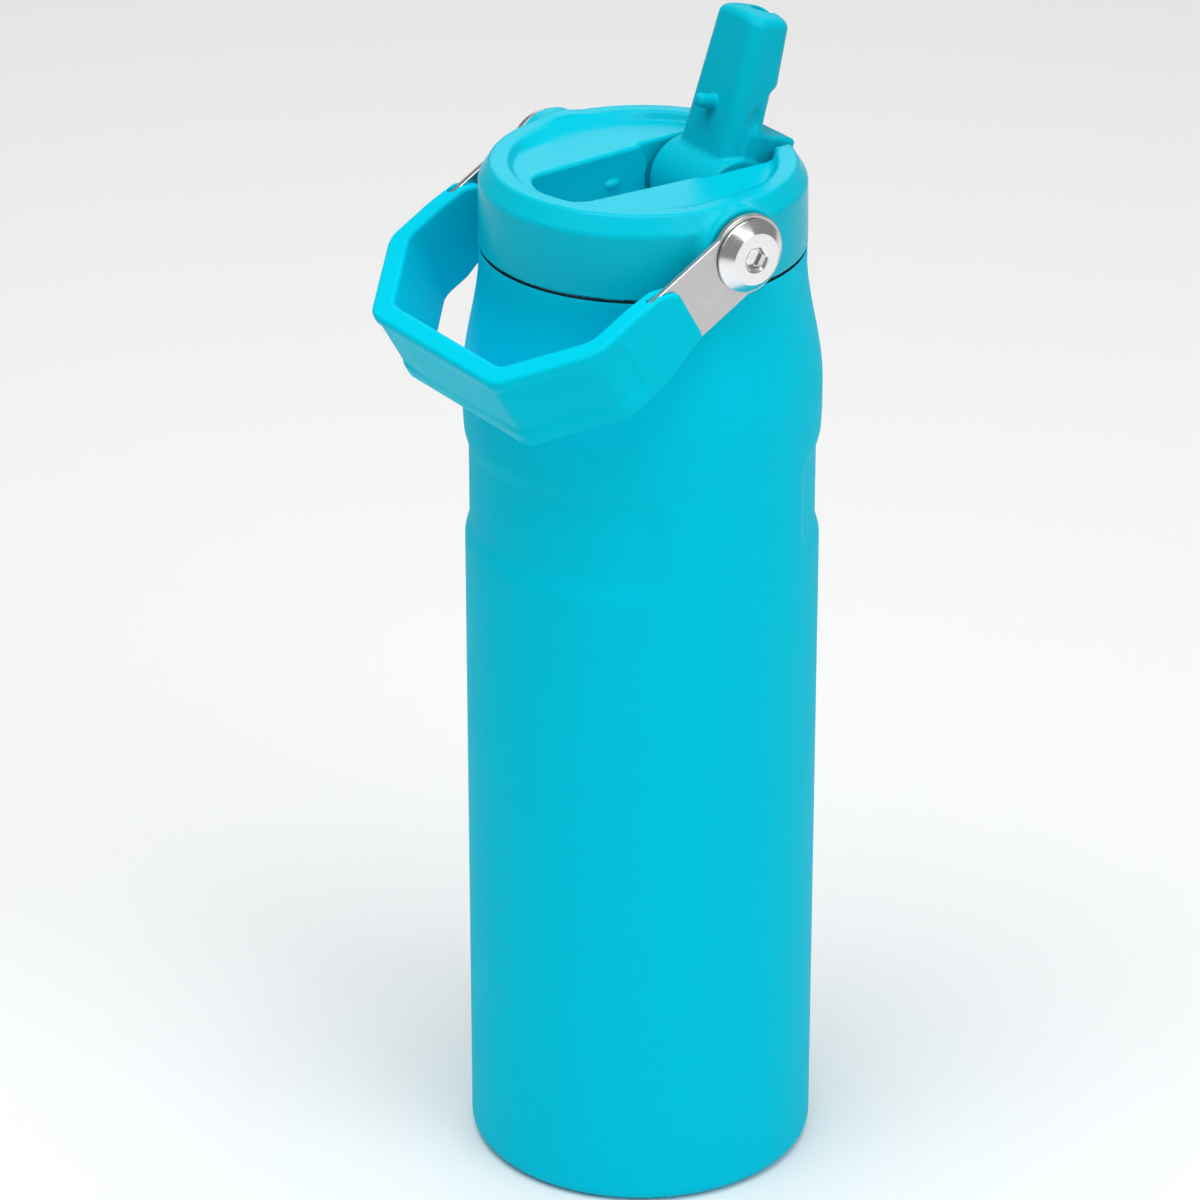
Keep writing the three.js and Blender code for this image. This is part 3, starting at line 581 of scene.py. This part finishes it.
def spout():
    turn = np.eye(4)
    lean_cos, lean_sin = math.cos(SPOUT_LEAN), math.sin(SPOUT_LEAN)
    turn[:3, 1] = [0, lean_cos, -lean_sin]
    turn[:3, 2] = [0, lean_sin, lean_cos]
    turn[:3, 3] = AXLE
    low = [-BARREL_HALF, -PEG_REACH, -BARREL_R]
    high = [BARREL_HALF, HEEL_REACH, SPOUT_LENGTH]
    return add_skin("spout_moulding", spout_field, low, high, step=0.36, turn=turn)


# ---- handle, in its own directions: across, away from the pivot and down to the bottle ----

def handle_turn():
    turn = np.eye(4)
    turn[:3, 1] = [0, -math.cos(HANDLE_DROP), -math.sin(HANDLE_DROP)]
    turn[:3, 2] = [0, math.sin(HANDLE_DROP), -math.cos(HANDLE_DROP)]
    turn[:3, 3] = PIVOT
    return turn


def grip_field(x, away, down):
    ax = np.abs(x)
    outer = both(ax - GRIP_OUTER_X, slant(ax, away, *GRIP_OUTER_SLANT), GRIP_OUTER_CURVE)
    outer = both(outer, away - BAR_OUTER, GRIP_OUTER_CURVE)
    inner = both(ax - GRIP_INNER_X, slant(ax, away, *GRIP_INNER_SLANT), GRIP_INNER_CURVE)
    inner = both(inner, away - BAR_INNER, GRIP_INNER_CURVE)
    panel = np.abs(down - GRIP_PANEL_MID) - GRIP_PANEL_HALF
    panel = both(panel, GRIP_PANEL_START - away, GRIP_PANEL_CORNER)
    depth = GRIP_PANEL_DEPTH + GRIP_PANEL_SIDE_DEPTH * step_up(ax, *GRIP_PANEL_SIDE)
    outer = outer + depth * step_up(-panel, *GRIP_PANEL_SLOPE)
    top = (np.interp(away, *GRIP_UPPER_EDGE) - down) * 0.92
    low = (down - np.interp(away, *GRIP_LOWER_EDGE)) * 0.97
    plate = both(both(top, low, GRIP_SIDE_CURVE), GRIP_START - away, GRIP_END_CURVE)
    band = both(both(plate, outer, GRIP_SIDE_CURVE), -inner, GRIP_INNER_CURVE)
    pocket_thick, pocket_wide = ARM_POCKET_HALF
    pocket = np.maximum(np.abs(ax - ARM_POCKET_X) - pocket_thick, np.abs(down) - pocket_wide)
    return np.maximum(band, -np.maximum(pocket, away - ARM_LENGTH - ARM_POCKET_GAP))


def grip():
    low = [-GRIP_OUTER_X, GRIP_START, -GRIP_TOP]
    high = [GRIP_OUTER_X, BAR_OUTER, GRIP_LOW]
    return add_skin("grip_moulding", grip_field, low, high, step=0.42, turn=handle_turn())


def arm_outline(inset):
    """The arm's outline pulled in by inset, as (away from the pivot, across the arm)."""
    eye = ARM_EYE_R - inset
    half = ARM_HALF_WIDTH - inset
    turns = np.linspace(ARM_NECK_ANGLE, 2 * math.pi - ARM_NECK_ANGLE, 72)
    points = [(eye * math.cos(turn), eye * math.sin(turn)) for turn in turns]
    start = np.array([eye * math.cos(ARM_NECK_ANGLE), -eye * math.sin(ARM_NECK_ANGLE)])
    corner = np.array([start[0] - (start[1] + half) * math.tan(ARM_NECK_ANGLE), -half])
    end = np.array([start[0] + ARM_NECK_BLEND, -half])
    lower = [
        (1 - t) ** 2 * start + 2 * t * (1 - t) * corner + t ** 2 * end
        for t in np.linspace(0, 1, 10)[1:]]
    lower += [np.array([s, -half]) for s in np.linspace(end[0], ARM_LENGTH - inset, 16)[1:]]
    upper = [(s, -n) for s, n in reversed(lower)]
    return np.array(points + [tuple(p) for p in lower] + upper)


def arm(side):
    edge = ARM_EDGE
    thick = ARM_THICKNESS
    layers = [
        (edge, 0), (edge / 3, edge / 4), (0, edge),
        (0, thick - edge), (edge / 3, thick - edge / 4), (edge, thick)]
    rings = []
    for inset, height in layers:
        outline = arm_outline(inset)
        x = side * (ARM_INNER_X + height)
        rings.append(np.column_stack([np.full(len(outline), x), outline]))
    angle = np.arctan2(rings[0][:, 2], rings[0][:, 1])
    for height in (thick, 0):
        x = np.full(len(angle), side * (ARM_INNER_X + height))
        rings.append(np.column_stack([x, ARM_HOLE_R * np.cos(angle), ARM_HOLE_R * np.sin(angle)]))
    name = "left" if side < 0 else "right"
    return loft(f"arm_plate_{name}", rings, turn=handle_turn())


# ---- screws ----

def screw(side):
    sides = 96
    seat = SCREW_SEAT_X
    face = SCREW_FACE_X
    angle = np.arange(sides) * 2 * math.pi / sides
    sixth = math.pi / 3
    hexagon = HEX_R * math.cos(sixth / 2) / np.cos((angle + sixth / 2) % sixth - sixth / 2)

    def hex_ring(scale, z):
        outline = scale * hexagon
        return np.column_stack([outline * np.cos(angle), outline * np.sin(angle), np.full(sides, z)])

    profile = [
        (SCREW_SHANK_R, SCREW_TIP_X), (SCREW_SHANK_R, seat), (SCREW_HEAD_R - 0.1, seat),
        (SCREW_HEAD_R, seat + 0.1), (SCREW_HEAD_R, seat + 0.45), (SCREW_HEAD_R - 0.1, seat + 0.62),
        (SCREW_FACE_R + 0.08, face - 0.05), (SCREW_FACE_R - 0.06, face), (HEX_R + 0.55, face),
        (HEX_R + 0.5, face)]
    rings = [circle(r, z, sides) for r, z in profile]
    socket = [(1.04, 0.35), (1, 0.45), (1, 1.6), (0.94, 1.7)]
    rings += [hex_ring(scale, face - depth) for scale, depth in socket]
    name = "left" if side < 0 else "right"
    return loft(f"screw_{name}", rings, closed=False, turn=along_x(side))


# ---- materials ----

def new_material(name):
    material = bpy.data.materials.new(name)
    material.use_nodes = True
    return material, material.node_tree.nodes, material.node_tree.links


def place(nodes, links, scale=(1, 1, 1), turn=(0, 0, 0)):
    """Object coordinates in metres, scaled and turned."""
    where = nodes.new("ShaderNodeTexCoord")
    mapping = nodes.new("ShaderNodeMapping")
    mapping.inputs["Scale"].default_value = scale
    mapping.inputs["Rotation"].default_value = turn
    links.new(where.outputs["Object"], mapping.inputs["Vector"])
    return mapping.outputs["Vector"]


def noise(nodes, links, vector, scale, detail=2, roughness=0.5):
    texture = nodes.new("ShaderNodeTexNoise")
    texture.inputs["Scale"].default_value = scale
    texture.inputs["Detail"].default_value = detail
    texture.inputs["Roughness"].default_value = roughness
    links.new(vector, texture.inputs["Vector"])
    return texture.outputs["Fac"]


def spread(nodes, links, value, low, high):
    """Maps a 0.3 to 0.7 noise value to a range."""
    ranged = nodes.new("ShaderNodeMapRange")
    ranged.inputs["From Min"].default_value = 0.3
    ranged.inputs["From Max"].default_value = 0.7
    ranged.inputs["To Min"].default_value = low
    ranged.inputs["To Max"].default_value = high
    links.new(value, ranged.inputs["Value"])
    return ranged.outputs["Result"]


def tint(nodes, links, value, low, high):
    """A colour that runs between two colours with a value."""
    ramp = nodes.new("ShaderNodeValToRGB")
    ramp.color_ramp.elements[0].position = 0.3
    ramp.color_ramp.elements[0].color = (*low, 1)
    ramp.color_ramp.elements[1].position = 0.7
    ramp.color_ramp.elements[1].color = (*high, 1)
    links.new(value, ramp.inputs["Fac"])
    return ramp.outputs["Color"]


def bump(nodes, links, value, depth, under=None):
    lift = nodes.new("ShaderNodeBump")
    lift.inputs["Distance"].default_value = depth
    lift.inputs["Strength"].default_value = 1
    links.new(value, lift.inputs["Height"])
    if under is not None:
        links.new(under, lift.inputs["Normal"])
    return lift.outputs["Normal"]


def shaded(colour, factor):
    return tuple(channel * factor for channel in colour)


def wear(nodes, links, shader, *parts):
    """Sets the roughness to the sum of two noises, each with a middle and a reach to either side."""
    total = nodes.new("ShaderNodeMath")
    total.operation = "ADD"
    for slot, (value, middle, reach) in enumerate(parts):
        links.new(spread(nodes, links, value, middle - reach, middle + reach), total.inputs[slot])
    links.new(total.outputs["Value"], shader.inputs["Roughness"])


def coated(name, colour, roughness, specular, grain, grain_depth, ripple_depth, specks=0.02):
    """A coloured coat or moulding: fine grain, a slow ripple, and patches that are a little more worn."""
    material, nodes, links = new_material(name)
    shader = nodes["Principled BSDF"]
    shader.inputs["Specular IOR Level"].default_value = specular
    here = place(nodes, links)
    fine = noise(nodes, links, here, scale=grain, detail=3, roughness=0.6)
    slow = noise(nodes, links, here, scale=55, detail=3, roughness=0.55)
    speckled = tint(nodes, links, fine, shaded(colour, 1 - specks), shaded(colour, 1 + specks))
    links.new(speckled, shader.inputs["Base Color"])
    wear(nodes, links, shader, (fine, roughness, 0.04), (slow, 0, 0.04))
    rippled = bump(nodes, links, noise(nodes, links, here, scale=260), ripple_depth)
    links.new(bump(nodes, links, fine, grain_depth, under=rippled), shader.inputs["Normal"])
    return material


def metal(name, colour, roughness, stretch, turn=(0, 0, 0), depth=0.000004, marks=0.06):
    """Bare metal with fine lines drawn out along one direction."""
    material, nodes, links = new_material(name)
    shader = nodes["Principled BSDF"]
    shader.inputs["Metallic"].default_value = 1
    lines = noise(nodes, links, place(nodes, links, stretch, turn), scale=1, detail=4, roughness=0.65)
    slow = noise(nodes, links, place(nodes, links), scale=140)
    marked = tint(nodes, links, lines, shaded(colour, 1 - marks), shaded(colour, 1 + marks))
    links.new(marked, shader.inputs["Base Color"])
    wear(nodes, links, shader, (lines, roughness, 0.06), (slow, 0, 0.03))
    links.new(bump(nodes, links, lines, depth), shader.inputs["Normal"])
    return material


def spun(name, colour, roughness, depth):
    """Metal turned on a lathe about the handle's pivot: fine rings round the X axis."""
    material, nodes, links = new_material(name)
    shader = nodes["Principled BSDF"]
    shader.inputs["Metallic"].default_value = 1
    shader.inputs["Anisotropic"].default_value = 0.4
    where = nodes.new("ShaderNodeTexCoord")
    offset = nodes.new("ShaderNodeVectorMath")
    offset.operation = "SUBTRACT"
    offset.inputs[1].default_value = PIVOT * MM
    flat = nodes.new("ShaderNodeVectorMath")
    flat.operation = "MULTIPLY"
    flat.inputs[1].default_value = (0.15, 1, 1)
    radius = nodes.new("ShaderNodeVectorMath")
    radius.operation = "LENGTH"
    links.new(where.outputs["Object"], offset.inputs[0])
    links.new(offset.outputs["Vector"], flat.inputs[0])
    links.new(flat.outputs["Vector"], radius.inputs[0])
    rings = nodes.new("ShaderNodeTexNoise")
    rings.noise_dimensions = "1D"
    rings.inputs["Scale"].default_value = 9000
    rings.inputs["Detail"].default_value = 3
    links.new(radius.outputs["Value"], rings.inputs["W"])
    ring = rings.outputs["Fac"]
    marked = tint(nodes, links, ring, shaded(colour, 0.93), shaded(colour, 1.05))
    links.new(marked, shader.inputs["Base Color"])
    links.new(spread(nodes, links, ring, roughness - 0.05, roughness + 0.05), shader.inputs["Roughness"])
    links.new(bump(nodes, links, ring, depth), shader.inputs["Normal"])
    about = nodes.new("ShaderNodeTangent")
    about.direction_type = "RADIAL"
    about.axis = "X"
    links.new(about.outputs["Tangent"], shader.inputs["Tangent"])
    return material


TEAL_COAT = (0.0, 0.588, 0.786)
TEAL_LID = (0.0, 0.51, 0.656)
TEAL_GRIP = (0.0, 0.588, 0.767)
# The spout's teal is the lid plastic's teal darkened by about a tenth: painted shade for the light that the
# spout's front face misses.
TEAL_SPOUT_DARKENED_FOR_SHADE = (0.0, 0.458, 0.595)

powder_coat = coated(
    "powder_coat", TEAL_COAT, roughness=0.5, specular=0.02,
    grain=2600, grain_depth=0.000012, ripple_depth=0.000010)
lid_plastic = coated(
    "lid_plastic", TEAL_LID, roughness=0.27, specular=0.07,
    grain=4200, grain_depth=0.000006, ripple_depth=0.000004)
grip_plastic = coated(
    "grip_plastic", TEAL_GRIP, roughness=0.36, specular=0.02,
    grain=4200, grain_depth=0.000006, ripple_depth=0.000004)
# The spout plastic takes the darkened teal, so part of its colour is painted shade.
spout_plastic = coated(
    "spout_plastic", TEAL_SPOUT_DARKENED_FOR_SHADE, roughness=0.36, specular=0.05,
    grain=4200, grain_depth=0.000006, ripple_depth=0.000004)
clear_plastic = coated(
    "clear_plastic", (0.8, 0.83, 0.85), roughness=0.35, specular=0.5,
    grain=3000, grain_depth=0.000004, ripple_depth=0.000006)
silicone = coated(
    "silicone", (0.74, 0.79, 0.8), roughness=0.6, specular=0.4,
    grain=3600, grain_depth=0.000008, ripple_depth=0.000004)
nylon = coated(
    "nylon", (0.025, 0.03, 0.033), roughness=0.5, specular=0.4,
    grain=3200, grain_depth=0.000006, ripple_depth=0.000004, specks=0.12)
bright_steel = metal("bright_steel", (0.62, 0.62, 0.63), roughness=0.22, stretch=(900, 900, 900))
brushed_steel = metal(
    "brushed_steel", (0.6, 0.59, 0.59), roughness=0.34, stretch=(300, 260, 5200), turn=(-HANDLE_DROP, 0, 0))
vessel_steel = metal("vessel_steel", (0.6, 0.6, 0.61), roughness=0.32, stretch=(260, 260, 6000))
brass = metal("brass", (0.72, 0.53, 0.24), roughness=0.3, stretch=(1200, 1200, 1200))
screw_steel = spun("screw_steel", (0.86, 0.86, 0.87), roughness=0.16, depth=0.0000012)


def finish_with(piece, material):
    piece.data.materials.clear()
    piece.data.materials.append(material)


# ---- the pieces on the frame ----

def put(piece, body, slot, material, *nodes):
    finish_with(piece, material)
    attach(piece, body)
    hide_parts(*nodes)


put(outer_shell(), "bottle", "powder_coat", powder_coat, "outer_shell")
put(lid_shell(), "lid", "lid_plastic", lid_plastic, "lid_shell")
put(spout(), "spout", "spout_plastic", spout_plastic, "spout")
put(grip(), "handle", "grip_plastic", grip_plastic, "handle_grip")
for word, side in (("left", -1), ("right", 1)):
    put(arm(side), "handle", "arm_steel", brushed_steel, f"handle_arm_{word}")
    put(screw(side), "lid", "screw_steel", screw_steel, f"pivot_screw_{word}")

carried = {
    "base_cup": powder_coat,
    "port_cover": powder_coat,
    "vacuum_plug": nylon,
    "getter_ring": bright_steel,
    "inner_vessel": vessel_steel,
    "lid_seal": silicone,
    "lid_core": clear_plastic,
    "vent_valve": silicone,
    "vent_grommet": silicone,
    "spout_seal": silicone,
    "straw": clear_plastic,
    "straw_sleeve": silicone,
}
for word in ("left", "right"):
    carried[f"spout_pin_{word}"] = bright_steel
    carried[f"pivot_insert_{word}"] = brass
    carried[f"pivot_spacer_{word}"] = nylon
    carried[f"pivot_bush_{word}"] = bright_steel
for node, material in carried.items():
    finish_with(frame["nodes"][node], material)

# ---- stage, lights and camera ----


def floor():
    material, nodes, links = new_material("floor")
    shader = nodes["Principled BSDF"]
    shader.inputs["Base Color"].default_value = (0.92, 0.92, 0.92, 1)
    shader.inputs["Roughness"].default_value = 0.8
    shader.inputs["Specular IOR Level"].default_value = 0.1
    reach = 4.0
    corners = [(-reach, -reach, 0), (reach, -reach, 0), (reach, reach, 0), (-reach, reach, 0)]
    plane = add_mesh("floor", np.array(corners) / MM, [[0, 1, 2, 3]])
    finish_with(plane, material)


def toward(azimuth, elevation, distance):
    """The way from the bottle to a light: azimuth 0 is the front and 90 the right."""
    a, e = math.radians(azimuth), math.radians(elevation)
    return Vector((math.sin(a) * math.cos(e), -math.cos(a) * math.cos(e), math.sin(e))) * distance


def softbox(name, azimuth, elevation, distance, size, power, target=(0, 0, 0.14)):
    """A square light that faces the bottle, in degrees, metres and watts."""
    light = bpy.data.lights.new(name, "AREA")
    light.shape = "RECTANGLE"
    light.size, light.size_y = size
    light.energy = power
    lamp = bpy.data.objects.new(name, light)
    lamp.location = Vector(target) + toward(azimuth, elevation, distance)
    lamp.rotation_euler = toward(azimuth, elevation, distance).to_track_quat("Z", "Y").to_euler()
    bpy.context.scene.collection.objects.link(lamp)


def world_light(strength):
    world = bpy.data.worlds.new("studio")
    world.use_nodes = True
    background = world.node_tree.nodes["Background"]
    background.inputs["Color"].default_value = (1, 1, 1, 1)
    background.inputs["Strength"].default_value = strength
    bpy.context.scene.world = world


CAMERA_AZIMUTH = math.radians(55)
CAMERA_REACH = 1.057
CAMERA_HEIGHT = 0.640
CAMERA_PITCH = math.radians(25.79)
CAMERA_YAW = math.radians(-0.49)
CAMERA_ROLL = math.radians(0.05)
CAMERA_LENS = 162.9


def camera():
    data = bpy.data.cameras.new("camera")
    data.lens = CAMERA_LENS
    data.sensor_width = 36
    data.clip_start = 0.01
    eye = bpy.data.objects.new("camera", data)
    eye.location = (
        math.sin(CAMERA_AZIMUTH) * CAMERA_REACH, -math.cos(CAMERA_AZIMUTH) * CAMERA_REACH, CAMERA_HEIGHT)
    heading = CAMERA_AZIMUTH - CAMERA_YAW
    turn = Matrix.Rotation(heading, 4, "Z") @ Matrix.Rotation(math.pi / 2 - CAMERA_PITCH, 4, "X")
    turn = turn @ Matrix.Rotation(-CAMERA_ROLL, 4, "Z")
    eye.rotation_euler = turn.to_euler()
    bpy.context.scene.collection.objects.link(eye)
    bpy.context.scene.camera = eye


floor()
world_light(0.26)
softbox("key", 100, 38, distance=1.6, size=(1.0, 1.2), power=7.8)
softbox("overhead", 30, 80, distance=1.4, size=(1.2, 1.2), power=16.8)
softbox("front_left", 5, 45, distance=1.6, size=(1.2, 1.2), power=2.4)
softbox("rear", 235, 28, distance=1.8, size=(1.3, 0.8), power=3.6)
camera()
bpy.context.scene.view_settings.view_transform = "Standard"

bpy.context.view_layer.update()
